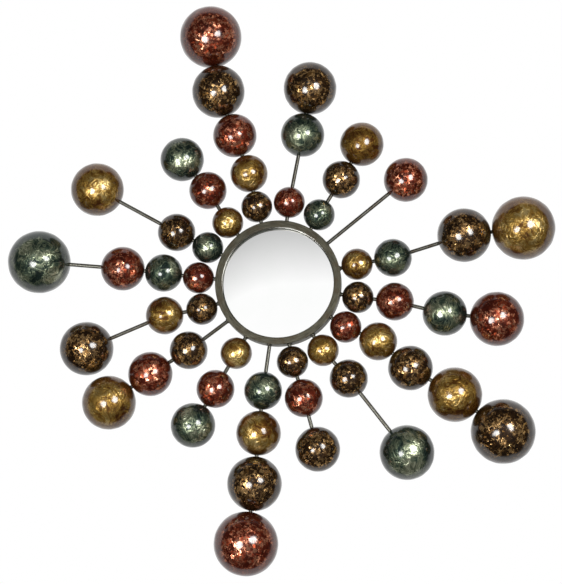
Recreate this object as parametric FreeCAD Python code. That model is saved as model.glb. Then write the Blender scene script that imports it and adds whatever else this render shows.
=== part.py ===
import FreeCAD, Part
import math
import os

from FreeCAD import Vector

# A starburst wall mirror: a small round mirror in a deep ring, with sixteen hand-bent rods on the ring's
# outside, each strung with hollow balls that grow outwards. All sizes are in millimetres.
# The wall is the plane y = 0, the mirror's axis is the Y axis, the front looks along -Y and +Z is up.

# Balls: hollow metal shells in five diameters.
SMALLEST_BALL_D = 50.0
SMALL_BALL_D = 60.0
MIDDLE_BALL_D = 70.0
LARGE_BALL_D = 85.0
LARGEST_BALL_D = 100.0
BALL_WALL = 0.8
BALL_TOUCH_GAP = 0.4
BALL_HOLE_CLEARANCE = 0.15

# Rods that carry the balls, and the weld beads at their roots.
ROD_D = 6.0
ROD_BEND_R = 40.0
ROD_TIP_GAP = 0.3
WELD_LEG = 1.8
WELD_TOE = 0.2

# Ring frame: rectangular tube rolled into a round.
RING_OUTER_D = 198.0
RING_FACE_W = 11.0
RING_DEPTH = 25.0
RING_WALL = 1.5
RING_EDGE_R = 1.0

# Mirror glass on foam pads, its board bed and the sheet that closes the ring.
GLASS_T = 3.0
GLASS_ARRIS = 0.6
PAD_T = 1.0
PAD_SIDE = 28.0
PAD_INSET = 16.0
BED_T = 9.0
DISC_CLEARANCE = 0.5
PANEL_T = 1.0
PANEL_INSET = 2.0

# Screws for the panel and the hanger bracket.
SCREW_D = 3.5
SCREW_HEAD_D = 7.0
SCREW_HEAD_H = 2.0
SCREW_SLOT_W = 1.0
SCREW_SLOT_L = 4.2
SCREW_SLOT_DEPTH = 0.9
SCREW_HOLE_CLEARANCE = 0.2
SCREW_THREAD_CLEARANCE = 0.05
PANEL_SCREW_LENGTH = 7.0
PANEL_SCREW_COUNT = 6
BRACKET_SCREW_LENGTH = 9.0

# Hanger bracket: flat bar bent to a hat, its feet on the panel and its keyholed back on the wall.
BRACKET_W = 30.0
BRACKET_T = 2.0
BRACKET_INSET = 2.5
BRACKET_FOOT_L = 20.0
BRACKET_BEND_R = 3.0
FOOT_SCREW_SPACING = 18.0
KEYHOLE_INSET = 20.0
KEYHOLE_HEAD_D = 10.0
KEYHOLE_SLOT_W = 5.0
KEYHOLE_RISE = 9.0
KEYHOLE_DROP = 5.0

# A turn or a stretch smaller than this counts as none.
LEAST_TURN = 0.001
LEAST_LENGTH = 0.001

# Each ray lists its balls from the ring outwards: finish, size, the bare rod before the ball, and the heading
# of that stretch of rod in degrees, anticlockwise from +X as seen from the front. Rays run clockwise from the
# long one at the top.
RAYS = {
    "01": [
        ("bronze", "smallest", 5, 105.5),
        ("gold", "small", 1, 103),
        ("copper", "middle", 2, 110),
        ("bronze", "large", 1, 110),
        ("copper", "largest", 0, 98),
    ],
    "02": [
        ("copper", "smallest", 7.5, 82.5),
        ("green", "middle", 52, 79),
        ("bronze", "large", 0, 81),
    ],
    "03": [
        ("green", "smallest", 3, 59.5),
        ("bronze", "small", 11.5, 58),
        ("gold", "middle", 1, 60),
    ],
    "04": [
        ("copper", "middle", 125.5, 39),
    ],
    "05": [
        ("gold", "smallest", 3, 13),
        ("green", "small", 2, 9.5),
        ("bronze", "large", 44.5, 17),
        ("gold", "largest", 0, 6),
    ],
    "06": [
        ("bronze", "smallest", 3, 349),
        ("copper", "small", 3, 352.5),
        ("green", "middle", 15, 345.5),
        ("copper", "large", 3.5, 353),
    ],
    "07": [
        ("copper", "smallest", 3, 326),
        ("gold", "small", 0, 335),
        ("bronze", "middle", 0, 319.5),
        ("gold", "large", 2.5, 328),
        ("bronze", "largest", 0, 321.5),
    ],
    "08": [
        ("gold", "smallest", 4, 303),
        ("bronze", "small", 5, 311.5),
        ("green", "large", 73.5, 307.5),
    ],
    "09": [
        ("bronze", "smallest", 3, 280),
        ("copper", "small", 4.5, 287),
        ("bronze", "middle", 17.5, 285),
    ],
    "10": [
        ("green", "small", 42.5, 262),
        ("gold", "middle", 1.5, 264),
        ("bronze", "large", 1, 265.5),
        ("copper", "largest", 0, 262),
    ],
    "11": [
        ("gold", "smallest", 4.5, 239),
        ("copper", "small", 9.5, 240),
        ("green", "middle", 1.5, 238.5),
    ],
    "12": [
        ("bronze", "small", 46.5, 216.5),
        ("copper", "middle", 5.5, 211.5),
        ("gold", "large", 1, 214.5),
    ],
    "13": [
        ("bronze", "smallest", 3, 198),
        ("gold", "small", 4.5, 189),
        ("bronze", "large", 61, 202.5),
    ],
    "14": [
        ("copper", "smallest", 3, 175),
        ("green", "small", 1, 171),
        ("copper", "middle", 1, 173),
        ("green", "largest", 50, 174.5),
    ],
    "15": [
        ("green", "smallest", 3, 152),
        ("bronze", "small", 1, 153),
        ("gold", "large", 75, 150.5),
    ],
    "16": [
        ("gold", "smallest", 4, 129),
        ("copper", "small", 7, 121),
        ("green", "middle", 1.5, 129),
    ],
}

# Sizes and places that follow from the driving dimensions.
BALL_R = {
    "smallest": SMALLEST_BALL_D / 2,
    "small": SMALL_BALL_D / 2,
    "middle": MIDDLE_BALL_D / 2,
    "large": LARGE_BALL_D / 2,
    "largest": LARGEST_BALL_D / 2,
}
ROD_R = ROD_D / 2
RING_R = RING_OUTER_D / 2
BORE_R = RING_R - RING_FACE_W
TUBE_MIDDLE_R = RING_R - RING_FACE_W / 2
AXIS = Vector(0, 1, 0)
ACROSS = Vector(1, 0, 0)

# The biggest ball rests on the wall, and the rods and the ring stand as far off it as that ball's radius.
ROD_PLANE_Y = -max(BALL_R.values())
RING_FRONT_Y = ROD_PLANE_Y - RING_DEPTH / 2
RING_REAR_Y = ROD_PLANE_Y + RING_DEPTH / 2
PANEL_REAR_Y = RING_REAR_Y + PANEL_T
BED_FRONT_Y = RING_REAR_Y - BED_T
GLASS_REAR_Y = BED_FRONT_Y - PAD_T
GLASS_FRONT_Y = GLASS_REAR_Y - GLASS_T
DISC_R = BORE_R - DISC_CLEARANCE

BRACKET_END_X = DISC_R - BRACKET_INSET
BRACKET_LEG_X = BRACKET_END_X - BRACKET_FOOT_L
FOOT_REAR_Y = PANEL_REAR_Y + BRACKET_T
FOOT_SCREW_X = BRACKET_END_X - BRACKET_FOOT_L / 2
KEYHOLE_X = BRACKET_LEG_X - KEYHOLE_INSET


def heading_vector(degrees):
    """Unit vector in the plane of the rods, anticlockwise from +X as seen from the front."""
    angle = math.radians(degrees)
    return Vector(math.cos(angle), 0, math.sin(angle))


def round_bar(radius, start_y, end_y, x=0, z=0):
    """Round solid along the Y direction between two depths."""
    return Part.makeCylinder(radius, end_y - start_y, Vector(x, start_y, z), AXIS)


def first_row_reach():
    """Distance from the axis at which neighbouring smallest balls, one on each of their rays, stand clear."""
    bearings = sorted(balls[0][3] for balls in RAYS.values() if balls[0][1] == "smallest")
    following = bearings[1:] + [bearings[0] + 360]
    steps = [after - before for before, after in zip(bearings, following)]
    return (SMALLEST_BALL_D + BALL_TOUCH_GAP) / (2 * math.sin(math.radians(min(steps) / 2)))


def clear_reach(start, along, reach, radius, placed):
    """Distance along a heading, at least reach, at which a ball stands clear of all the balls so far."""
    blocked = True
    while blocked:
        blocked = False
        for centre, other_radius in placed:
            abreast = (centre - start).dot(along)
            aside = (centre - start - along * abreast).Length
            apart = radius + other_radius + BALL_TOUCH_GAP
            if math.hypot(reach - abreast, aside) < apart - LEAST_LENGTH:
                reach = abreast + math.sqrt(apart**2 - aside**2)
                blocked = True
    return reach


def ball_centres():
    """Centres of each ray's balls: every ball follows the one before it along its own stretch of rod."""
    axis_point = Vector(0, ROD_PLANE_Y, 0)
    placed = []
    centres = {}
    for ray, balls in RAYS.items():
        centres[ray] = []
        here = axis_point
        edge = RING_R
        for finish, size, bare, heading in balls:
            radius = BALL_R[size]
            reach = edge + bare + radius
            if here is axis_point and size == "smallest":
                reach = max(reach, first_row_reach())
            along = heading_vector(heading)
            here = here + along * clear_reach(here, along, reach, radius, placed)
            edge = radius
            placed.append((here, radius))
            centres[ray].append(here)
    return centres


def bent_path(points, bend_radii):
    """Straight runs through the points, with a tangent arc at each inner point, or a corner for radius 0."""
    edges = []
    here = points[0]
    for before, corner, after, radius in zip(points, points[1:], points[2:], bend_radii):
        inward = (corner - before).normalize()
        outward = (after - corner).normalize()
        turn = inward.getAngle(outward)
        if turn < LEAST_TURN:
            continue
        setback = radius * math.tan(turn / 2)
        start = corner - inward * setback
        end = corner + outward * setback
        edges.append(Part.LineSegment(here, start).toShape())
        if radius:
            to_centre = (outward - inward).normalize()
            middle = corner + to_centre * (radius / math.cos(turn / 2) - radius)
            edges.append(Part.Arc(start, middle, end).toShape())
        here = end
    edges.append(Part.LineSegment(here, points[-1]).toShape())
    return Part.Wire(edges)


def bent_wire(points, bend_radii, diameter):
    """Round wire of one diameter along a bent path, with square ends."""
    path = bent_path(points, bend_radii)
    section = Part.Circle(points[0], points[1] - points[0], diameter / 2)
    return path.makePipeShell([Part.Wire(section.toShape())], True, True)


def hollow_ball(centre, size, hole_headings):
    """Thin spherical shell with a rod hole towards each heading. Its seam lies square to the first hole."""
    radius = BALL_R[size]
    shell = Part.makeSphere(radius).cut(Part.makeSphere(radius - BALL_WALL))
    shell.rotate(Vector(0, 0, 0), ACROSS, 90)
    shell.rotate(Vector(0, 0, 0), AXIS, -hole_headings[0] - 90)
    shell.translate(centre)
    hole_r = ROD_R + BALL_HOLE_CLEARANCE
    holes = [Part.makeCylinder(hole_r, radius + BALL_WALL, centre, heading_vector(h)) for h in hole_headings]
    return shell.cut(holes)


def spoke(ray, centres):
    """Rod from the ring through the ball centres, bent inside the balls, to the last ball's far wall."""
    balls = RAYS[ray]
    root = Vector(0, ROD_PLANE_Y, 0) + heading_vector(balls[0][3]) * RING_R
    last_inside_r = BALL_R[balls[-1][1]] - BALL_WALL - ROD_TIP_GAP
    tip = centres[-1] + heading_vector(balls[-1][3]) * math.sqrt(last_inside_r**2 - ROD_R**2)
    points = [root] + centres[:-1] + [tip]
    return bent_wire(points, [ROD_BEND_R] * len(centres), ROD_D)


def weld_bead(bearing):
    """Fillet weld round a rod's root: a cone collar cut to the ring's outside and to the rod."""
    along = heading_vector(bearing)
    axis_point = Vector(0, ROD_PLANE_Y, 0)
    base = axis_point + along * (RING_R - WELD_LEG)
    collar = Part.makeCone(ROD_R + 2 * WELD_LEG, ROD_R + WELD_TOE, 2 * WELD_LEG, base, along)
    rod = Part.makeCylinder(ROD_R, RING_R + 2 * WELD_LEG, axis_point, along)
    return collar.cut([round_bar(RING_R, RING_FRONT_Y, RING_REAR_Y), rod])


def rounded_ring(inner_r, outer_r, front_y, rear_y, edge_r):
    """Solid ring about the axis, of rectangular section with rounded edges."""
    blank = round_bar(outer_r, front_y, rear_y).cut(round_bar(inner_r, front_y, rear_y))
    edges = [edge for edge in blank.Edges if edge.Closed]
    return blank.makeFillet(edge_r, edges)


def panel_screw_places():
    """X and Z of the panel's screws, evenly spaced on the middle of the tube and clear of the bracket."""
    step = 360 / PANEL_SCREW_COUNT
    places = [heading_vector(step * (i + 0.5)) * TUBE_MIDDLE_R for i in range(PANEL_SCREW_COUNT)]
    return [(place.x, place.z) for place in places]


def bracket_screw_places():
    """X and Z of the screws that hold the bracket's feet, a pair in each foot."""
    half_spacing = FOOT_SCREW_SPACING / 2
    return [(x, z) for x in (-FOOT_SCREW_X, FOOT_SCREW_X) for z in (-half_spacing, half_spacing)]


def ring_frame():
    """Hollow tube ring, with a thread hole in its rear wall for each panel screw."""
    ring = rounded_ring(BORE_R, RING_R, RING_FRONT_Y, RING_REAR_Y, RING_EDGE_R)
    hollow_bore = round_bar(BORE_R + RING_WALL, RING_FRONT_Y + RING_WALL, RING_REAR_Y - RING_WALL)
    hollow = round_bar(RING_R - RING_WALL, RING_FRONT_Y + RING_WALL, RING_REAR_Y - RING_WALL).cut(hollow_bore)
    hole_r = SCREW_D / 2 + SCREW_THREAD_CLEARANCE
    inside_y = RING_REAR_Y - 2 * RING_WALL
    holes = [round_bar(hole_r, inside_y, RING_REAR_Y, x, z) for x, z in panel_screw_places()]
    return ring.cut([hollow] + holes)


def screw(x, seat_y, z, length):
    """Dome-head screw with a crossed slot, driven towards the front from its seat, with a pointed tip."""
    shank_r = SCREW_D / 2
    head_r = SCREW_HEAD_D / 2
    dome_r = (head_r**2 + SCREW_HEAD_H**2) / (2 * SCREW_HEAD_H)
    half_cap = math.asin(head_r / dome_r) / 2
    apex = Vector(0, SCREW_HEAD_H, 0)
    rim = Vector(head_r, 0, 0)
    shoulder = Vector(dome_r * math.sin(half_cap), SCREW_HEAD_H - dome_r * (1 - math.cos(half_cap)), 0)
    corners = [apex, Vector(0, -length, 0), Vector(shank_r, SCREW_D - length, 0), Vector(shank_r, 0, 0), rim]
    edges = [Part.LineSegment(a, b).toShape() for a, b in zip(corners, corners[1:])]
    edges.append(Part.Arc(rim, shoulder, apex).toShape())
    body = Part.Face(Part.Wire(edges)).revolve(Vector(0, 0, 0), AXIS, 360)
    slot_y = SCREW_HEAD_H - SCREW_SLOT_DEPTH
    slots = []
    for width, height in ((SCREW_SLOT_L, SCREW_SLOT_W), (SCREW_SLOT_W, SCREW_SLOT_L)):
        corner = Vector(-width / 2, slot_y, -height / 2)
        slots.append(Part.makeBox(width, SCREW_SLOT_DEPTH, height, corner))
    turned = body.cut(slots)
    turned.translate(Vector(x, seat_y, z))
    return turned


def mirror_glass():
    """Round glass with a fine arris ground on its front edge."""
    glass = round_bar(DISC_R, GLASS_FRONT_Y, GLASS_REAR_Y)
    middle_y = (GLASS_FRONT_Y + GLASS_REAR_Y) / 2
    front_edge = [edge for edge in glass.Edges if edge.Closed and edge.CenterOfMass.y < middle_y]
    return glass.makeChamfer(GLASS_ARRIS, front_edge)


def tape_pads():
    """Foam squares between glass and bed: one at the middle and four in a cross near the edge."""
    reach = DISC_R - PAD_INSET - PAD_SIDE / 2
    pads = []
    for x, z in ((0, 0), (reach, 0), (-reach, 0), (0, reach), (0, -reach)):
        corner = Vector(x - PAD_SIDE / 2, GLASS_REAR_Y, z - PAD_SIDE / 2)
        pads.append(Part.makeBox(PAD_SIDE, PAD_T, PAD_SIDE, corner))
    return pads


def mirror_bed():
    """Board disc behind the glass, with a hole for each bracket screw's thread."""
    bed = round_bar(DISC_R, BED_FRONT_Y, RING_REAR_Y)
    hole_r = SCREW_D / 2 + SCREW_THREAD_CLEARANCE
    return bed.cut([round_bar(hole_r, BED_FRONT_Y, RING_REAR_Y, x, z) for x, z in bracket_screw_places()])


def back_panel():
    """Sheet disc that closes the ring, drilled for its own screws and the bracket's."""
    panel = round_bar(RING_R - PANEL_INSET, RING_REAR_Y, PANEL_REAR_Y)
    places = panel_screw_places() + bracket_screw_places()
    hole_r = SCREW_D / 2 + SCREW_HOLE_CLEARANCE
    return panel.cut([round_bar(hole_r, RING_REAR_Y, PANEL_REAR_Y, x, z) for x, z in places])


def keyhole(x):
    """Cutter for a keyhole: a round for the screw's head, and a narrow slot above it for the shank."""
    slot_r = KEYHOLE_SLOT_W / 2
    head = round_bar(KEYHOLE_HEAD_D / 2, -BRACKET_T, 0, x, -KEYHOLE_DROP)
    corner = Vector(x - slot_r, -BRACKET_T, -KEYHOLE_DROP)
    slot = Part.makeBox(KEYHOLE_SLOT_W, BRACKET_T, KEYHOLE_RISE, corner)
    slot_top = round_bar(slot_r, -BRACKET_T, 0, x, KEYHOLE_RISE - KEYHOLE_DROP)
    return head.fuse([slot, slot_top])


def hanger_bracket():
    """Flat bar bent to a hat across the panel: screwed feet, legs to the wall, and a back with keyholes."""
    tight, wide = BRACKET_BEND_R, BRACKET_BEND_R + BRACKET_T
    leg_inside_x = BRACKET_LEG_X - BRACKET_T
    right_side = [
        (BRACKET_LEG_X, 0, wide),
        (BRACKET_LEG_X, FOOT_REAR_Y, tight),
        (BRACKET_END_X, FOOT_REAR_Y, 0),
        (BRACKET_END_X, PANEL_REAR_Y, 0),
        (leg_inside_x, PANEL_REAR_Y, wide),
        (leg_inside_x, -BRACKET_T, tight),
    ]
    left_side = [(-x, y, bend) for x, y, bend in reversed(right_side)]
    corners = [(0, 0, 0)] + right_side + left_side + [(0, 0, 0)]
    points = [Vector(x, y, -BRACKET_W / 2) for x, y, bend in corners]
    bends = [bend for x, y, bend in corners[1:-1]]
    bar = Part.Face(bent_path(points, bends)).extrude(Vector(0, 0, BRACKET_W))
    hole_r = SCREW_D / 2 + SCREW_HOLE_CLEARANCE
    holes = [round_bar(hole_r, PANEL_REAR_Y, FOOT_REAR_Y, x, z) for x, z in bracket_screw_places()]
    return bar.cut([keyhole(-KEYHOLE_X), keyhole(KEYHOLE_X)] + holes)


def ball_groups(centres):
    """Balls of each finish and size, gathered under one name."""
    groups = {}
    for ray, balls in RAYS.items():
        for i, (finish, size, bare, heading) in enumerate(balls):
            holes = [heading + 180] + [after[3] for after in balls[i + 1 : i + 2]]
            name = f"{finish}_balls_{size}"
            groups.setdefault(name, []).append(hollow_ball(centres[ray][i], size, holes))
    return groups


def all_parts():
    """Every named part with its solids."""
    centres = ball_centres()
    parts = {
        "ring_frame": [ring_frame()],
        "weld_beads": [weld_bead(balls[0][3]) for balls in RAYS.values()],
        "mirror_glass": [mirror_glass()],
        "tape_pads": tape_pads(),
        "mirror_bed": [mirror_bed()],
        "back_panel": [back_panel()],
        "panel_screws": [screw(x, PANEL_REAR_Y, z, PANEL_SCREW_LENGTH) for x, z in panel_screw_places()],
        "hanger_bracket": [hanger_bracket()],
        "bracket_screws": [screw(x, FOOT_REAR_Y, z, BRACKET_SCREW_LENGTH) for x, z in bracket_screw_places()],
    }
    for ray in RAYS:
        parts[f"spoke_{ray}"] = [spoke(ray, centres[ray])]
    parts.update(ball_groups(centres))
    return parts


os.makedirs("parts", exist_ok=True)
for name, solids in all_parts().items():
    shape = solids[0] if len(solids) == 1 else Part.makeCompound(solids)
    shape.exportStep(f"parts/{name}.step")
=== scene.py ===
import math

import bmesh
import bpy
import numpy as np
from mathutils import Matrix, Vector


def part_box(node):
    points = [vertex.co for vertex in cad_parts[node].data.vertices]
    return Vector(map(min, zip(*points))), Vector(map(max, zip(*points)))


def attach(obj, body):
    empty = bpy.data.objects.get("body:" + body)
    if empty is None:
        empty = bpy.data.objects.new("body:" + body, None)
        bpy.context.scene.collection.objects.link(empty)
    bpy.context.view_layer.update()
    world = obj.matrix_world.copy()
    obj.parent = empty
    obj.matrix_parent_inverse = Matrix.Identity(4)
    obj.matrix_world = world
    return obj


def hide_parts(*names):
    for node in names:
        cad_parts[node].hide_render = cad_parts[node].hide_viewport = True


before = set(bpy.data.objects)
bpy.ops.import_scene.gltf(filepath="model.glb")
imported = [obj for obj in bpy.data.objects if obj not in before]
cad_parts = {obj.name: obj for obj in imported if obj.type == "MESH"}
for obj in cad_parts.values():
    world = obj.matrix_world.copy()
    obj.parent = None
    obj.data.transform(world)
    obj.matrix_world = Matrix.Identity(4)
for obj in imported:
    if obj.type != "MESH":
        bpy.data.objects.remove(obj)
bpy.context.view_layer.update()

# Ring frame: rectangular steel tube rolled into a round, its edges eased. It is brushed along its round and
# stained an olive bronze that has gone brown in patches and is rubbed paler on the edges.
RING_FACE_WIDTH = 0.011
RING_EDGE_RADIUS = 0.001
RING_EDGE_STEPS = 6
RING_COLUMNS = 288
BRUSH_LENGTH = 0.014
BRUSH_WIDTH = 0.0006
STAIN_PATCH = 0.016
ring_low, ring_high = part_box("ring_frame")
RING_RADIUS = ring_high.z
RING_BORE = RING_RADIUS - RING_FACE_WIDTH
RING_MIDDLE_Y = (ring_low.y + ring_high.y) / 2
MERGE_DISTANCE = 1e-6
SHARP_ANGLE = math.radians(40)


class Value:
    """One output socket of a finish. Each sum, product or power of values adds one Math node."""

    def __init__(self, finish, socket):
        self.finish = finish
        self.socket = socket

    def also(self, output):
        """Another output of the node that this value comes from."""
        return Value(self.finish, self.socket.node.outputs[output])

    def math(self, operation, *terms):
        return self.finish.node("ShaderNodeMath", {"operation": operation}, dict(enumerate(terms)))

    def __add__(self, other):
        return self.math("ADD", self, other)

    def __radd__(self, other):
        return self.math("ADD", other, self)

    def __sub__(self, other):
        return self.math("SUBTRACT", self, other)

    def __rsub__(self, other):
        return self.math("SUBTRACT", other, self)

    def __mul__(self, other):
        return self.math("MULTIPLY", self, other)

    def __rmul__(self, other):
        return self.math("MULTIPLY", other, self)

    def __truediv__(self, other):
        return self.math("DIVIDE", self, other)

    def __pow__(self, other):
        return self.math("POWER", self, other)

    def __abs__(self):
        return self.math("ABSOLUTE", self)


class Finish:
    """The node tree of a material or a world, and the one method that adds a node to it."""

    def __init__(self, owner):
        owner.use_nodes = True
        self.owner = owner
        self.tree = owner.node_tree
        self.tree.nodes.clear()

    def node(self, kind, settings, sockets, output=0):
        """Add a node: its settings first, a ramp's stops among them, then its sockets' values or links."""
        node = self.tree.nodes.new(kind)
        for name, setting in settings.items():
            if name == "stops":
                self.set_stops(node.color_ramp.elements, setting)
            else:
                setattr(node, name, setting)
        for key, value in sockets.items():
            if isinstance(value, Value):
                self.tree.links.new(value.socket, node.inputs[key])
            else:
                node.inputs[key].default_value = value
        return Value(self, node.outputs[output]) if node.outputs else None

    def set_stops(self, stops, wanted):
        """Colours along a ramp, given as pairs of place and colour in rising order."""
        while len(stops) < len(wanted):
            stops.new(1.0)
        for stop, (place, colour) in zip(stops, wanted):
            stop.position = place
            stop.color = colour

    def place(self):
        """The point on the piece, in metres in the part's own frame."""
        return self.node("ShaderNodeTexCoord", {}, {}, "Object")

    def noise(self, vector, size, detail=2.0, roughness=0.5, output="Fac"):
        """Noise whose lumps are about the given size across."""
        sockets = {"Vector": vector, "Scale": 1 / size, "Detail": detail, "Roughness": roughness}
        return self.node("ShaderNodeTexNoise", {}, sockets, output)

    def ramp(self, factor, *stops):
        """A colour from a value between 0 and 1."""
        return self.node("ShaderNodeValToRGB", {"stops": stops}, {"Fac": factor})

    def mix(self, first, second, factor):
        """A colour between two colours."""
        return self.node("ShaderNodeMix", {"data_type": "RGBA"}, {0: factor, 6: first, 7: second}, 2)

    def step(self, value, low, high):
        """A smooth step from 0 at the low value to 1 at the high one."""
        settings = {"interpolation_type": "SMOOTHSTEP"}
        return self.node("ShaderNodeMapRange", settings, {"Value": value, 1: low, 2: high, 3: 0.0, 4: 1.0})

    def bump(self, height, depth, normal=None):
        """A normal tilted by a height from 0 to 1 that stands for the given depth in metres."""
        sockets = {"Height": height, "Distance": depth, "Strength": 1.0}
        if normal:
            sockets["Normal"] = normal
        return self.node("ShaderNodeBump", {}, sockets)

    def shader(self, **sockets):
        """A surface shader, with its sockets named in words joined by underscores."""
        named = {}
        for name, value in sockets.items():
            named[name.replace("_", " ").title().replace("Ior", "IOR")] = value
        return self.node("ShaderNodeBsdfPrincipled", {}, named)

    def finished(self, shader):
        """The material, with this shader on its surface."""
        self.node("ShaderNodeOutputMaterial", {}, {"Surface": shader})
        return self.owner

    def surface(self, **sockets):
        """The material, with one shader of these sockets on its surface."""
        return self.finished(self.shader(**sockets))


def srgb(red, green, blue):
    """A colour given as it looks on a screen, 0 to 255, turned into light values."""
    levels = np.array([red, green, blue]) / 255
    light = np.where(levels <= 0.04045, levels / 12.92, ((levels + 0.055) / 1.055) ** 2.4)
    return (*light.tolist(), 1.0)


def grid_faces(rows, columns, rows_close):
    """Quads between neighbours in a grid whose columns close on themselves, and its rows too if asked."""
    row, column = np.meshgrid(np.arange(rows - 1 + rows_close), np.arange(columns), indexing="ij")
    next_row = (row + 1) % rows
    next_column = (column + 1) % columns
    corners = [(row, column), (row, next_column), (next_row, next_column), (next_row, column)]
    return np.stack([a * columns + b for a, b in corners], -1).reshape(-1, 4)


def new_piece(name, grids, material):
    """One mesh of several grids of points, each with whether its rows close. Doubled points are merged."""
    points = []
    faces = []
    count = 0
    for grid, rows_close in grids:
        rows, columns = grid.shape[:2]
        points.append(grid.reshape(-1, 3))
        faces.append(grid_faces(rows, columns, rows_close) + count)
        count += rows * columns
    mesh = bpy.data.meshes.new(name)
    mesh.from_pydata(np.concatenate(points), [], np.concatenate(faces))
    joined = bmesh.new()
    joined.from_mesh(mesh)
    bmesh.ops.remove_doubles(joined, verts=joined.verts, dist=MERGE_DISTANCE)
    bmesh.ops.recalc_face_normals(joined, faces=joined.faces)
    joined.to_mesh(mesh)
    joined.free()
    mesh.shade_smooth()
    mesh.set_sharp_from_angle(angle=SHARP_ANGLE)
    mesh.materials.append(material)
    piece = bpy.data.objects.new(name, mesh)
    bpy.context.scene.collection.objects.link(piece)
    return piece


def eased_section(inner, outer, front, rear, radius, steps):
    """Closed rectangle with round corners: a quarter circle at each, and a point on the flats beside it."""
    sweep = np.concatenate([[0], np.linspace(0, math.pi / 2, steps), [math.pi / 2]])
    slide = np.concatenate([[-radius], np.zeros(steps), [radius]]) / 2
    corners = np.array([[outer - radius, rear - radius], [inner + radius, rear - radius],
                        [inner + radius, front + radius], [outer - radius, front + radius]])
    angle = np.arange(4)[:, None] * math.pi / 2 + sweep
    outward = np.stack([np.cos(angle), np.sin(angle)], -1)
    onward = np.stack([-np.sin(angle), np.cos(angle)], -1)
    return (corners[:, None] + radius * outward + slide[:, None] * onward).reshape(-1, 2)


def turned(section, columns):
    """Surface of revolution about Y: a section's first value goes outwards at each angle, its second is y."""
    angle = np.linspace(0, 2 * math.pi, columns, endpoint=False)
    reach = section[:, :1]
    depth = section[:, 1:] + np.zeros(columns)
    return np.stack([reach * np.sin(angle), depth, reach * np.cos(angle)], -1)


def stained_bronze():
    """Brushing is noise squeezed across the round and drawn out along it; slower noise stains it brown."""
    finish = Finish(bpy.data.materials.new("stained_bronze"))
    place = finish.place()
    x = finish.node("ShaderNodeSeparateXYZ", {}, {0: place})
    y = x.also(1)
    z = x.also(2)
    reach = (x * x + z * z) ** 0.5
    turns = RING_RADIUS / BRUSH_LENGTH
    across = (reach + y) / BRUSH_WIDTH
    unrolled = {0: x / reach * turns, 1: z / reach * turns, 2: across}
    round_ring = finish.node("ShaderNodeCombineXYZ", {}, unrolled)
    brushing = finish.noise(round_ring, 1.0, detail=3)
    stain = finish.step(finish.noise(place, STAIN_PATCH, detail=5, roughness=0.65), 0.46, 0.68)
    off_middle = abs(reach - (RING_RADIUS + RING_BORE) / 2) - (RING_FACE_WIDTH / 2 - RING_EDGE_RADIUS)
    off_depth = abs(y - RING_MIDDLE_Y) - (ring_high.y - RING_MIDDLE_Y - RING_EDGE_RADIUS)
    worn = finish.step(off_middle, 0, RING_EDGE_RADIUS) * finish.step(off_depth, 0, RING_EDGE_RADIUS)
    olive = finish.ramp(brushing, (0.3, srgb(50, 48, 40)), (0.7, srgb(102, 99, 85)))
    browned = finish.mix(olive, srgb(72, 61, 46), stain * 0.7)
    return finish.surface(
        base_color=finish.mix(browned, srgb(84, 81, 70), worn),
        metallic=0.9,
        roughness=0.36 + 0.2 * brushing + 0.1 * stain,
        normal=finish.bump(brushing, 0.00004),
    )


ring_section = eased_section(
    RING_BORE, RING_RADIUS, ring_low.y, ring_high.y, RING_EDGE_RADIUS, RING_EDGE_STEPS)
ring = new_piece("ring_round", [(turned(ring_section, RING_COLUMNS), True)], stained_bronze())
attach(ring, "root")
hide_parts("ring_frame")

# Spokes: round steel rod, bent by hand inside the balls that it is strung with, so that each ray wanders a
# little. The rods are left bare, oiled dark, and welded by their roots to the outside of the ring.
ROD_BEND = 0.040
ROD_COLUMNS = 24
ROD_STATION = 0.003
ROD_ROOT_SINK = 0.0005
ROD_TIP_GAP = 0.0012
ROD_GRAIN = 0.0012
ROD_SCALE = 0.012
BEND_STEPS = 12
RAY_MARGIN = 0.010
POINT_DIGITS = 6
POLE_BAND = 0.00001
ROOT_BAND = 0.0001
# The balls of each ray from the ring outwards, with the rays clockwise from the long one at the top.
STRINGING = {
    "01": "bronze smallest, gold small, copper middle, bronze large, copper largest",
    "02": "copper smallest, green middle, bronze large",
    "03": "green smallest, bronze small, gold middle",
    "04": "copper middle",
    "05": "gold smallest, green small, bronze large, gold largest",
    "06": "bronze smallest, copper small, green middle, copper large",
    "07": "copper smallest, gold small, bronze middle, gold large, bronze largest",
    "08": "gold smallest, bronze small, green large",
    "09": "bronze smallest, copper small, bronze middle",
    "10": "green small, gold middle, bronze large, copper largest",
    "11": "gold smallest, copper small, green middle",
    "12": "bronze small, copper middle, gold large",
    "13": "bronze smallest, gold small, bronze large",
    "14": "copper smallest, green small, copper middle, green largest",
    "15": "green smallest, bronze small, gold large",
    "16": "gold smallest, copper small, green middle",
}


def solid_points(node):
    """The corner points of a solid of the frame."""
    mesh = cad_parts[node].data
    flat = np.empty(len(mesh.vertices) * 3)
    mesh.vertices.foreach_get("co", flat)
    return flat.reshape(-1, 3)


def ball_centres(node, radius):
    """Centres of a node's balls: each lies one radius straight behind the ball's frontmost point."""
    points = solid_points(node)
    front = points[:, 1].min()
    poles = points[points[:, 1] < front + POLE_BAND]
    places = np.unique(np.round(poles, POINT_DIGITS), axis=0)
    return places + np.array([0, radius, 0])


def ball_radius(node):
    """Half of the depth of a node's balls."""
    low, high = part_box(node)
    return (high.y - low.y) / 2


def spoke_root(ray):
    """The middle of a rod's end on the ring: the mean of its points nearest to the mirror's axis."""
    points = np.unique(np.round(solid_points("spoke_" + ray), POINT_DIGITS), axis=0)
    reach = np.hypot(points[:, 0], points[:, 2])
    return points[reach < reach.min() + ROOT_BAND].mean(0)


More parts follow.
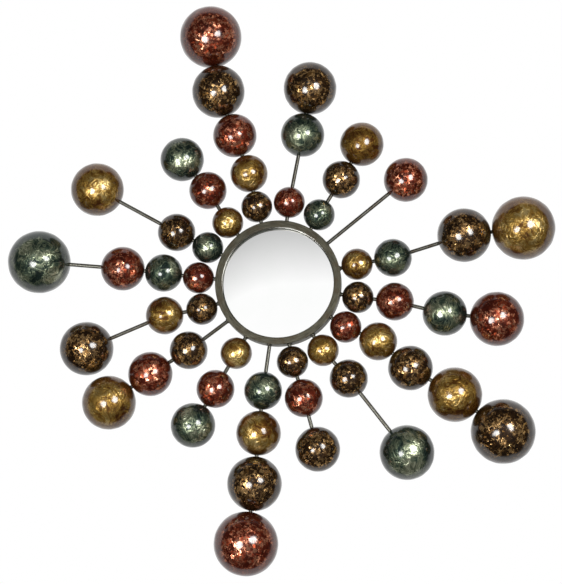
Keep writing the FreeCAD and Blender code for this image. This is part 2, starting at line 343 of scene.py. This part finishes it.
def strung_balls(ray):
    """Each ball of a ray as node, centre and radius: the nearest of its kind, along the ray's own rod."""
    low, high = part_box("spoke_" + ray)
    lowest = np.array(low) - RAY_MARGIN
    highest = np.array(high) + RAY_MARGIN
    here = spoke_root(ray)
    strung = []
    for ball in STRINGING[ray].split(", "):
        finish, size = ball.split()
        node = f"{finish}_balls_{size}"
        radius = ball_radius(node)
        centres = ball_centres(node, radius)
        centres = centres[np.all((centres > lowest) & (centres < highest), axis=1)]
        here = centres[np.argmin(np.linalg.norm(centres - here, axis=1))]
        strung.append((node, here, radius))
    return strung


def unit(vector):
    """The vector at length one."""
    return vector / np.linalg.norm(vector)


def bent_path(corners, bend, station):
    """Straight runs through the corners, an arc tangent to both runs at each inner one, at even stations."""
    stretches = [corners[:1]]
    for before, corner, after in zip(corners, corners[1:], corners[2:]):
        inward = unit(corner - before)
        outward = unit(after - corner)
        turn = math.acos(min(1.0, inward @ outward))
        aside = outward - inward * (inward @ outward)
        aside = aside / max(np.linalg.norm(aside), MERGE_DISTANCE)
        angle = np.linspace(0, turn, BEND_STEPS)[:, None]
        start = corner - inward * bend * math.tan(turn / 2)
        stretches.append(start + bend * (np.sin(angle) * inward + (1 - np.cos(angle)) * aside))
    stretches.append(corners[-1:])
    path = np.concatenate(stretches)
    travel = np.concatenate([[0], np.cumsum(np.linalg.norm(np.diff(path, axis=0), axis=1))])
    even = np.linspace(0, travel[-1], int(travel[-1] / station) + 2)
    return np.stack([np.interp(even, travel, path[:, axis]) for axis in range(3)], -1)


def rod(path, radius, columns):
    """Round rod along a path: circles square to the path, closed in a point at both ends."""
    along = np.gradient(path, axis=0)
    along = along / np.linalg.norm(along, axis=1)[:, None]
    side = np.cross(along, [0, 1, 0])
    angle = np.linspace(0, 2 * math.pi, columns, endpoint=False)[:, None]
    rings = np.cos(angle) * side[:, None] + np.sin(angle) * np.array([0, 1, 0])
    surface = path[:, None] + radius * rings
    ends = path[[0, -1], None] + np.zeros((2, columns, 3))
    return np.concatenate([ends[:1], surface, ends[1:]])


def oiled_steel():
    """Drawn steel gone dark under oil: fine noise mottles it, slower noise leaves grey and brown lengths."""
    finish = Finish(bpy.data.materials.new("oiled_steel"))
    place = finish.place()
    grain = finish.noise(place, ROD_GRAIN, detail=3)
    scale = finish.noise(place, ROD_SCALE, detail=3)
    steel = finish.ramp(grain, (0.3, srgb(74, 73, 67)), (0.7, srgb(118, 117, 108)))
    return finish.surface(
        base_color=finish.mix(steel, srgb(74, 64, 50), finish.step(scale, 0.45, 0.7) * 0.6),
        metallic=0.9,
        roughness=0.28 + 0.22 * grain,
        normal=finish.bump(grain, 0.00003),
    )


rods_low, rods_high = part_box("spoke_04")
ROD_RADIUS = (rods_high.y - rods_low.y) / 2
rod_finish = oiled_steel()
rays = {ray: strung_balls(ray) for ray in STRINGING}
roots = {ray: spoke_root(ray) for ray in STRINGING}
for ray, strung in rays.items():
    root = roots[ray]
    centres = [centre for node, centre, radius in strung]
    stops = [root - unit(centres[0] - root) * ROD_ROOT_SINK] + centres
    heading = unit(stops[-1] - stops[-2])
    stops[-1] = stops[-1] + heading * (strung[-1][2] - ROD_TIP_GAP)
    grid = rod(bent_path(np.array(stops), ROD_BEND, ROD_STATION), ROD_RADIUS, ROD_COLUMNS)
    spoke = new_piece("bent_rod_" + ray, [(grid, False)], rod_finish)
    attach(spoke, "root")
    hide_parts("spoke_" + ray)

# Weld beads: one fillet run round the root of each rod, rippled where the pool froze. The bead laps up the
# rod and out over the ring, and is left as dark as the rods.
BEAD_LEG = 0.0018
BEAD_COLUMNS = 72
BEAD_STEPS = 9
BEAD_RIPPLES = 17
BEAD_SINK = 0.0003
bead_random = np.random.default_rng(16)


def weld_bead(root):
    """Collar round a rod: its section is a quarter ellipse from ring to rod, closed inside both. The two legs
    swell with slow seeded waves and ripple round the rod."""
    outward = unit(root * np.array([1, 0, 1]))
    aside = np.cross(outward, [0, 1, 0])
    angle = np.linspace(0, 2 * math.pi, BEAD_COLUMNS, endpoint=False)
    phases = bead_random.uniform(0, 2 * math.pi, 3)
    swell = 0.82 + 0.12 * np.sin(angle + phases[0]) + 0.06 * np.sin(3 * angle + phases[1])
    ripple = 0.05 * np.sin(BEAD_RIPPLES * angle + phases[2])
    leg = BEAD_LEG * (swell + ripple)
    sweep = np.linspace(0, math.pi / 2, BEAD_STEPS)[:, None]
    spread = np.concatenate([[leg], leg * np.cos(sweep), [-BEAD_SINK + 0 * leg], [-BEAD_SINK + 0 * leg]])
    height = np.concatenate([[-BEAD_SINK + 0 * leg], leg * np.sin(sweep), [leg], [-BEAD_SINK + 0 * leg]])
    across = (ROD_RADIUS + spread) * np.cos(angle)
    depth = (ROD_RADIUS + spread) * np.sin(angle)
    reach = np.sqrt(RING_RADIUS**2 - across**2) + height
    place = reach[..., None] * outward + across[..., None] * aside + depth[..., None] * np.array([0, 1, 0])
    return place + np.array([0, root[1], 0])


beads = new_piece("root_welds", [(weld_bead(root), True) for root in roots.values()], rod_finish)
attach(beads, "root")
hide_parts("weld_beads")

# Balls: thin hollow shells, bored for the rod on two sides, or on one at a ray's end. Each is painted dark,
# laid over with torn or crumpled metal leaf in one of four colours, and sealed under a thick clear lacquer.
BALL_ROWS = 52
BALL_INNER_ROWS = 14
BALL_COLUMNS = 104
BALL_WALL = 0.0008
BORE_CLEARANCE = 0.00015
WAVE_COUNT = 9
SLOW_WAVES = (2, 7)
SLOW_DEPTH = 0.004
FINE_WAVES = (14, 24)
FINE_DEPTH = 0.016
LEAF_METAL = 0.92
# Facing values between which, and how much, the leaf gives way to painted shade towards a ball's outline.
OUTLINE_SHADE_FADE = (0.22, 0.5)
OUTLINE_SHADE_SHARE = 0.85
LACQUER_ROUGHNESS = 0.14
LACQUER_IOR = 1.6
ball_random = np.random.default_rng(54)


def dimples(directions, waves_round):
    """Unevenness of a hand-finished shell: a mean of seeded waves over the sphere, from 0 to 1."""
    ways = ball_random.normal(0, 1, (WAVE_COUNT, 3))
    lengths = np.linalg.norm(ways, axis=1)[:, None]
    waves = ways / lengths * ball_random.uniform(*waves_round, (WAVE_COUNT, 1))
    phases = ball_random.uniform(0, 2 * math.pi, WAVE_COUNT)
    return 0.5 + 0.5 * np.mean(np.sin(directions @ waves.T + phases), axis=-1)


def hollow_ball(centre, radius, arriving, leaving):
    """Hollow shell on rows from one rod hole to the other, lined inside. A row's circle lies square to an
    axis that turns evenly from the arriving heading to the leaving one; an end ball closes in a point."""
    is_end = leaving is None
    turn = 0 if is_end else math.atan2(np.cross(arriving, leaving)[1], arriving @ leaving)
    hole = math.asin((ROD_RADIUS + BORE_CLEARANCE) / radius) / math.pi
    last = 1 if is_end else 1 - hole
    outer = np.linspace(hole, last, BALL_ROWS)
    lining = np.linspace(last, hole, BALL_INNER_ROWS)
    share = np.concatenate([lining, outer])[:, None]
    wall = np.concatenate([np.full(BALL_INNER_ROWS, BALL_WALL), np.zeros(BALL_ROWS)])[:, None]
    angle = np.linspace(0, 2 * math.pi, BALL_COLUMNS, endpoint=False)
    forward = -np.cos(math.pi * share) + 0 * angle
    aside = np.sin(math.pi * share) * np.cos(angle)
    depth = np.sin(math.pi * share) * np.sin(angle)
    side = np.cross([0, 1, 0], arriving)
    cosine = np.cos(turn * share)
    sine = np.sin(turn * share)
    along = (forward * cosine + aside * sine)[..., None] * arriving
    athwart = (aside * cosine - forward * sine)[..., None] * side
    directions = along + athwart + depth[..., None] * np.array([0, 1, 0])
    sunk = SLOW_DEPTH * dimples(directions, SLOW_WAVES) + FINE_DEPTH * dimples(directions, FINE_WAVES)
    reach = radius * (1 - sunk) - wall
    return centre + reach[..., None] * directions, not is_end


def lacquered(finish, colour, ground, roughness, normal):
    """Leaf under lacquer: the lacquer lies smooth, whatever the leaf does under it. At a low angle a glossy
    lacquer over
    the ground at half its colour takes over: painted shade, so that the leaf fades towards the ball's
    outline."""
    lacquer = {
        "coat_weight": 1.0,
        "coat_roughness": LACQUER_ROUGHNESS,
        "coat_ior": LACQUER_IOR,
        "specular_ior_level": 0.0,
    }
    # Painted shade: the ground at half its colour, under lacquer, mixed over the leaf towards the outline by
    # viewing angle.
    red, green, blue, alpha = ground
    painted_ground_shade = (red / 2, green / 2, blue / 2, alpha)
    leaf = finish.shader(
        base_color=colour,
        metallic=LEAF_METAL,
        roughness=roughness,
        normal=normal,
        specular_tint=(0.0, 0.0, 0.0, 1.0),
        **lacquer,
    )
    gloss = finish.shader(base_color=painted_ground_shade, roughness=0.6, **lacquer)
    facing = finish.node("ShaderNodeLayerWeight", {}, {"Blend": 0.5}, "Facing")
    outline_shade = OUTLINE_SHADE_SHARE * finish.step(facing, *OUTLINE_SHADE_FADE)
    return finish.finished(finish.node("ShaderNodeMixShader", {}, {0: outline_shade, 1: leaf, 2: gloss}))


def warped(finish, place, swirl, reach):
    """The place, moved along each axis by one channel of a colour noise times the reach."""
    sockets = {0: swirl, 1: (reach, reach, reach), 2: place}
    return finish.node("ShaderNodeVectorMath", {"operation": "MULTIPLY_ADD"}, sockets)


def torn_flakes(name, flake, drift, cover, ground, leaf, burnished):
    """Torn foil: the cells of a warped cell pattern are flakes, slow noise gathers them in drifts and leaves
    dark ground between. Each flake lies at its own tilt, and some are burnished and flash."""
    finish = Finish(bpy.data.materials.new(name))
    place = finish.place()
    tear = finish.noise(place, flake, detail=3, output="Color")
    cells = {"Vector": warped(finish, place, tear, flake * 2.5), "Scale": 1 / flake}
    lot = finish.node("ShaderNodeTexVoronoi", {}, cells, "Color")
    chance = finish.node("ShaderNodeSeparateColor", {}, {0: lot})
    creases = finish.noise(place, flake * 0.5, detail=2)
    drifts = finish.noise(place, drift, detail=3, roughness=0.6)
    score = (drifts - 0.5) * 3.0 + (chance - 0.5) * 0.9 + (creases - 0.5) * 0.9 + cover
    laid = finish.step(score, -0.25, 0.25)
    shine = laid * finish.step(chance.also(1) + (creases - 0.5) * 0.7, 0.35, 0.6)
    colour = finish.mix(finish.mix(ground, leaf, laid), burnished, shine)
    lean = finish.node("ShaderNodeVectorMath", {"operation": "SUBTRACT"}, {0: lot, 1: (0.5, 0.5, 0.5)})
    tilt = 0.3 + 0.7 * chance.also(2) ** 3.0
    leant = finish.node("ShaderNodeVectorMath", {"operation": "SCALE"}, {0: lean, "Scale": tilt})
    upright = finish.node("ShaderNodeNewGeometry", {}, {}, "Normal")
    leaning = finish.node("ShaderNodeVectorMath", {"operation": "ADD"}, {0: leant, 1: upright})
    dullness = 0.58 - 0.16 * laid - 0.15 * shine
    return lacquered(finish, colour, ground, dullness, finish.bump(creases, flake * 0.04, leaning))


def crumpled_leaf(name, fold, bare, ground, dull_leaf, leaf, burnished):
    """Whole leaf, crumpled: creases are where a noise crosses its middle value, drawn thin; the leaf is
    burnished along them, dull between, and thin enough in places to let the ground through."""
    finish = Finish(bpy.data.materials.new(name))
    place = finish.place()
    swirl = finish.noise(place, fold * 2.5, detail=1, output="Color")
    swirled = warped(finish, place, swirl, fold * 6.0)
    folds = finish.noise(swirled, fold, detail=3, roughness=0.6)
    creases = 1 - finish.step(abs(folds - 0.5), 0.0, 0.07)
    fine = finish.noise(swirled, fold * 0.4, detail=2)
    patches = finish.noise(place, fold * 3.0, detail=2)
    tone = 0.6 * folds + 0.4 * fine + (patches - 0.5) * 1.2 + 0.2 * creases - bare
    colour = finish.ramp(tone, (0.3, ground), (0.45, dull_leaf), (0.62, leaf), (0.85, burnished))
    shine = finish.step(tone + 0.1 * creases, 0.4, 0.8)
    return lacquered(finish, colour, ground, 0.55 - 0.25 * shine, finish.bump(folds, fold * 0.2))


leaf_finishes = {
    "copper": torn_flakes(
        "copper_leaf", flake=0.0040, drift=0.016, cover=-0.05,
        ground=srgb(80, 27, 13), leaf=srgb(146, 64, 38), burnished=srgb(224, 150, 116)),
    "bronze": torn_flakes(
        "bronze_leaf", flake=0.0035, drift=0.014, cover=-0.14,
        ground=srgb(43, 27, 11), leaf=srgb(104, 74, 37), burnished=srgb(214, 172, 115)),
    "gold": crumpled_leaf(
        "gold_leaf", fold=0.010, bare=0.01, ground=srgb(82, 48, 13),
        dull_leaf=srgb(122, 90, 36), leaf=srgb(174, 139, 68), burnished=srgb(244, 214, 144)),
    "green": crumpled_leaf(
        "green_leaf", fold=0.012, bare=0.05, ground=srgb(30, 43, 38),
        dull_leaf=srgb(63, 77, 64), leaf=srgb(126, 134, 108), burnished=srgb(230, 234, 200)),
}
shells = {}
for ray, strung in rays.items():
    stops = [roots[ray]] + [centre for node, centre, radius in strung]
    headings = [unit(after - before) for before, after in zip(stops, stops[1:])] + [None]
    for (node, centre, radius), arriving, leaving in zip(strung, headings, headings[1:]):
        shells.setdefault(node, []).append(hollow_ball(centre, radius, arriving, leaving))
for node, grids in shells.items():
    colour, size = node.split("_balls_")
    balls = new_piece(f"leafed_{colour}_{size}", grids, leaf_finishes[colour])
    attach(balls, "root")
    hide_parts(node)
    colour + "_leaf"

# Mirror glass: a round of silvered float glass with a ground arris at its front edge, set back in the ring.
# The silver lies behind the glass, so the whole front mirrors and only the ground edge is grey-green.
GLASS_ARRIS = 0.0006
GLASS_RINGS = 24
GLASS_COLUMNS = 192
SILVER_CLOUD = 0.05
glass_low, glass_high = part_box("mirror_glass")
GLASS_RADIUS = glass_high.z


def silvered_glass():
    """Even silver with the faintest cloud in it; on the arris the glass is ground and mirrors no more."""
    finish = Finish(bpy.data.materials.new("silvered_glass"))
    place = finish.place()
    x = finish.node("ShaderNodeSeparateXYZ", {}, {0: place})
    z = x.also(2)
    reach = (x * x + z * z) ** 0.5
    ground = finish.step(reach, GLASS_RADIUS - GLASS_ARRIS * 1.05, GLASS_RADIUS - GLASS_ARRIS * 0.95)
    cloud = finish.noise(place, SILVER_CLOUD, detail=3)
    silver = finish.ramp(cloud, (0.3, srgb(251, 252, 251)), (0.7, srgb(254, 254, 254)))
    return finish.surface(
        base_color=finish.mix(silver, srgb(188, 200, 190), ground),
        metallic=1.0 - 0.5 * ground,
        roughness=0.005 + 0.3 * ground,
    )


front_reach = np.linspace(0, GLASS_RADIUS - GLASS_ARRIS, GLASS_RINGS)
glass_section = np.concatenate([
    np.stack([front_reach, np.full(GLASS_RINGS, glass_low.y)], -1),
    [[GLASS_RADIUS, glass_low.y + GLASS_ARRIS], [GLASS_RADIUS, glass_high.y], [0, glass_high.y]],
])
glass = new_piece("silvered_round", [(turned(glass_section, GLASS_COLUMNS), False)], silvered_glass())
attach(glass, "root")
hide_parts("mirror_glass")

# Tape pads and mirror bed: five squares of white foam tape stick the glass to a disc of brown hardboard.
# The board is pressed from fine fibre, and the closed ring hides both.
TAPE_CELL = 0.0007
BOARD_FIBRE = 0.0015
BOARD_CLOUD = 0.02


def dress(node, material):
    """Gives a solid that keeps its own shape its finish."""
    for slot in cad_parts[node].material_slots:
        slot.material = material


def foam_tape():
    """Closed foam: small pale cells with faint shade between them."""
    finish = Finish(bpy.data.materials.new("foam_tape"))
    cells = finish.node("ShaderNodeTexVoronoi", {}, {"Vector": finish.place(), "Scale": 1 / TAPE_CELL})
    return finish.surface(
        base_color=finish.ramp(cells, (0.0, srgb(236, 234, 226)), (0.8, srgb(208, 205, 196))),
        roughness=0.85,
        normal=finish.bump(cells, 0.0002),
    )


def pressed_board():
    """Fibre drawn out in all directions: fine noise over slow noise, in browns."""
    finish = Finish(bpy.data.materials.new("pressed_board"))
    place = finish.place()
    fibre = finish.noise(place, BOARD_FIBRE, detail=5, roughness=0.7)
    clouds = finish.noise(place, BOARD_CLOUD, detail=2)
    tone = 0.7 * fibre + 0.3 * clouds
    return finish.surface(
        base_color=finish.ramp(tone, (0.3, srgb(96, 68, 44)), (0.7, srgb(150, 114, 78))),
        roughness=0.8,
        normal=finish.bump(fibre, 0.0002),
    )


dress("tape_pads", foam_tape())
dress("mirror_bed", pressed_board())

# Back panel and hanger bracket: sheet steel that closes the ring, and flat bar bent to a hat, with two
# keyholes. Both are sprayed matt black, with the slight pebble of spray paint and some rubbed places.
PAINT_PEBBLE = 0.0009
RUBBED_PATCH = 0.03


def sprayed_black():
    """Pebbled paint: fine noise raises it, slow noise rubs it greyer and shinier."""
    finish = Finish(bpy.data.materials.new("sprayed_black"))
    place = finish.place()
    pebble = finish.noise(place, PAINT_PEBBLE, detail=2)
    rubbed = finish.step(finish.noise(place, RUBBED_PATCH, detail=5, roughness=0.65), 0.5, 0.75)
    paint = finish.ramp(pebble, (0.3, srgb(34, 33, 31)), (0.7, srgb(48, 47, 44)))
    return finish.surface(
        base_color=finish.mix(paint, srgb(74, 71, 66), rubbed * 0.6),
        roughness=0.55 - 0.14 * rubbed + 0.1 * pebble,
        normal=finish.bump(pebble, 0.00012),
    )


back_paint = sprayed_black()
dress("back_panel", back_paint)
dress("hanger_bracket", back_paint)

# Screws: zinc-plated dome heads with a crossed slot, six in the panel's rim and four in the bracket's feet.
# The plating is pale grey with a faint yellow bloom.
PLATE_CRYSTAL = 0.0008
BLOOM_PATCH = 0.006


def zinc_plate():
    """Crystals of plating in near greys, and a slow yellow bloom over them."""
    finish = Finish(bpy.data.materials.new("zinc_plate"))
    place = finish.place()
    crystals = finish.noise(place, PLATE_CRYSTAL, detail=4, roughness=0.6)
    bloom = finish.step(finish.noise(place, BLOOM_PATCH, detail=2), 0.45, 0.7)
    plate = finish.ramp(crystals, (0.3, srgb(150, 152, 152)), (0.7, srgb(196, 198, 198)))
    return finish.surface(
        base_color=finish.mix(plate, srgb(196, 184, 140), bloom * 0.5),
        metallic=1.0,
        roughness=0.26 + 0.2 * crystals,
    )


zinc = zinc_plate()
dress("panel_screws", zinc)
dress("bracket_screws", zinc)

# Studio: a pale floor well below the part, two round lamps in front, a soft fill from above and one from
# behind. It is white all round for the eye; what gloss mirrors is white behind the part and dim before it.
FLOOR_Z = -1.5
FLOOR_HALF = 2.6
FLOOR_SOLID = 0.7
FLOOR_CLOUD = 0.6
CAMERA_TARGET = np.array([0.00406, -0.050, -0.01377])
CAMERA_AZIMUTH = 4.77
CAMERA_ELEVATION = -11.0
CAMERA_DISTANCE = 3.045
CAMERA_LENS = 119.6
LAMP_DISTANCE = 2.8
# Each lamp's azimuth, elevation, width and radiance, and whether gloss mirrors it.
LAMPS = {
    "lamp_left": (-19.6, -16.6, 22, 17, True),
    "lamp_right": (30.8, 3.5, 22, 17, True),
    "fill_back": (180, 30, 44, 6, False),
    "fill_top": (0, 88, 44, 10, False),
}
AMBIENT_LIGHT = 0.15
# What gloss mirrors of the backdrop behind the part and of the wall in front: the light at their sides and
# middles, and the cosines between which the backdrop begins and each of them brightens to its middle.
BACKDROP_EDGE = (0.02, 0.24)
BACKDROP_RISE = (0.5, 0.95)
BACKDROP_SIDE = 0.84
BACKDROP_MIDDLE = 1.0
WALL_RISE = (0.55, 0.97)
WALL_SIDE = 0.03
WALL_MIDDLE = 0.16
# The pale card that the mirror shows: the cosines at its edge, where its grey corner begins, how that
# corner's edge bends down to the left, how fast it darkens upwards, and the darkest it gets.
CARD_EDGE = (0.9945, 0.9965)
CARD_LEFT = -0.077
CARD_TOP = 0.195
CARD_BEND = 10.5
CARD_FALL = 16.2
CARD_DARKEST = 0.5


def sight(azimuth, elevation):
    """Unit vector from the part towards a place at an azimuth, positive towards +X, and an elevation."""
    around = math.radians(azimuth)
    up = math.radians(elevation)
    return np.array([math.sin(around) * math.cos(up), -math.cos(around) * math.cos(up), math.sin(up)])


def aim(thing, place, target):
    """Puts a lamp or camera at a place, looking at the target with its top up."""
    thing.location = place
    from_target = Vector(place - target)
    thing.rotation_euler = from_target.to_track_quat("Z", "Y").to_euler()
    bpy.context.scene.collection.objects.link(thing)


def floor_paint():
    """Pale painted floor with the faintest cloud in it, faded out with its reach into the white round it."""
    finish = Finish(bpy.data.materials.new("floor_paint"))
    place = finish.place()
    cloud = finish.noise(place, FLOOR_CLOUD, detail=3)
    x = finish.node("ShaderNodeSeparateXYZ", {}, {0: place})
    y = x.also(1)
    reach = (x * x + y * y) ** 0.5
    return finish.surface(
        base_color=finish.ramp(cloud, (0.3, srgb(226, 226, 224)), (0.7, srgb(234, 234, 232))),
        roughness=0.7,
        alpha=1 - finish.step(reach, FLOOR_SOLID, FLOOR_HALF),
    )


floor_mesh = bpy.data.meshes.new("studio_floor")
floor_corners = np.array([[-1, -1], [1, -1], [1, 1], [-1, 1]]) * FLOOR_HALF
floor_mesh.from_pydata(np.column_stack([floor_corners, np.full(4, FLOOR_Z)]), [], [[0, 1, 2, 3]])
floor_mesh.materials.append(floor_paint())
floor = bpy.data.objects.new("studio_floor", floor_mesh)
# Gloss mirrors the backdrop past the floor, and not the floor.
floor.visible_glossy = False
bpy.context.scene.collection.objects.link(floor)

for name, (azimuth, elevation, width_angle, radiance, is_mirrored) in LAMPS.items():
    lamp = bpy.data.lights.new(name, "AREA")
    lamp.shape = "DISK"
    lamp.size = 2 * LAMP_DISTANCE * math.tan(math.radians(width_angle / 2))
    # A flat lamp's power is its radiance times its area times pi.
    lamp.energy = radiance * math.pi * math.pi * (lamp.size / 2) ** 2
    lamp_object = bpy.data.objects.new(name, lamp)
    lamp_object.visible_camera = False
    lamp_object.visible_glossy = is_mirrored
    aim(lamp_object, CAMERA_TARGET + LAMP_DISTANCE * sight(azimuth, elevation), CAMERA_TARGET)


def studio_world():
    """White to the eye. What gloss mirrors is white behind the part, dim at the sides, and a grey wall in
    front with a card in it, white below and greyer towards its top left. Matt surfaces get an even light."""
    finish = Finish(bpy.data.worlds.new("studio"))
    look = finish.node("ShaderNodeTexCoord", {}, {}, "Generated")
    x = finish.node("ShaderNodeSeparateXYZ", {}, {0: look})
    z = x.also(2)
    dot = {"operation": "DOT_PRODUCT"}
    away = tuple(-sight(CAMERA_AZIMUTH, CAMERA_ELEVATION))
    depth = finish.node("ShaderNodeVectorMath", dot, {0: look, 1: away}, "Value")
    backdrop = BACKDROP_SIDE + (BACKDROP_MIDDLE - BACKDROP_SIDE) * finish.step(depth, *BACKDROP_RISE)
    behind = finish.step(depth, *BACKDROP_EDGE) * backdrop
    front = WALL_SIDE + (WALL_MIDDLE - WALL_SIDE) * finish.step(0 - depth, *WALL_RISE)
    mirrored_away = (away[0], -away[1], away[2])
    nearness = finish.node("ShaderNodeVectorMath", dot, {0: look, 1: mirrored_away}, "Value")
    card = finish.step(nearness, *CARD_EDGE)
    left = x.math("MAXIMUM", CARD_LEFT - x, 0.0)
    above = x.math("MAXIMUM", z - CARD_TOP + CARD_BEND * left * left, 0.0)
    shade = x.math("MAXIMUM", 1.0 - CARD_FALL * above, CARD_DARKEST)
    mirrored = behind + front * (1 - card) + shade * card
    is_camera = finish.node("ShaderNodeLightPath", {}, {}, "Is Camera Ray")
    is_glossy = is_camera.also("Is Glossy Ray")
    is_mirrored = is_camera.math("MAXIMUM", is_glossy, is_camera.also("Is Transmission Ray"))
    unseen = is_mirrored * mirrored + (1 - is_mirrored) * AMBIENT_LIGHT
    strength = is_camera + (1 - is_camera) * unseen
    light = finish.node("ShaderNodeBackground", {}, {"Color": (1, 1, 1, 1), "Strength": strength})
    finish.node("ShaderNodeOutputWorld", {}, {"Surface": light})
    # This light differs with the kind of ray, so it isn't sampled as a lamp.
    finish.owner.cycles.sampling_method = "NONE"
    return finish.owner


bpy.context.scene.world = studio_world()
bpy.context.scene.view_settings.view_transform = "Standard"

lens = bpy.data.cameras.new("camera")
lens.lens = CAMERA_LENS
camera = bpy.data.objects.new("camera", lens)
aim(camera, CAMERA_TARGET + CAMERA_DISTANCE * sight(CAMERA_AZIMUTH, CAMERA_ELEVATION), CAMERA_TARGET)
bpy.context.scene.camera = camera
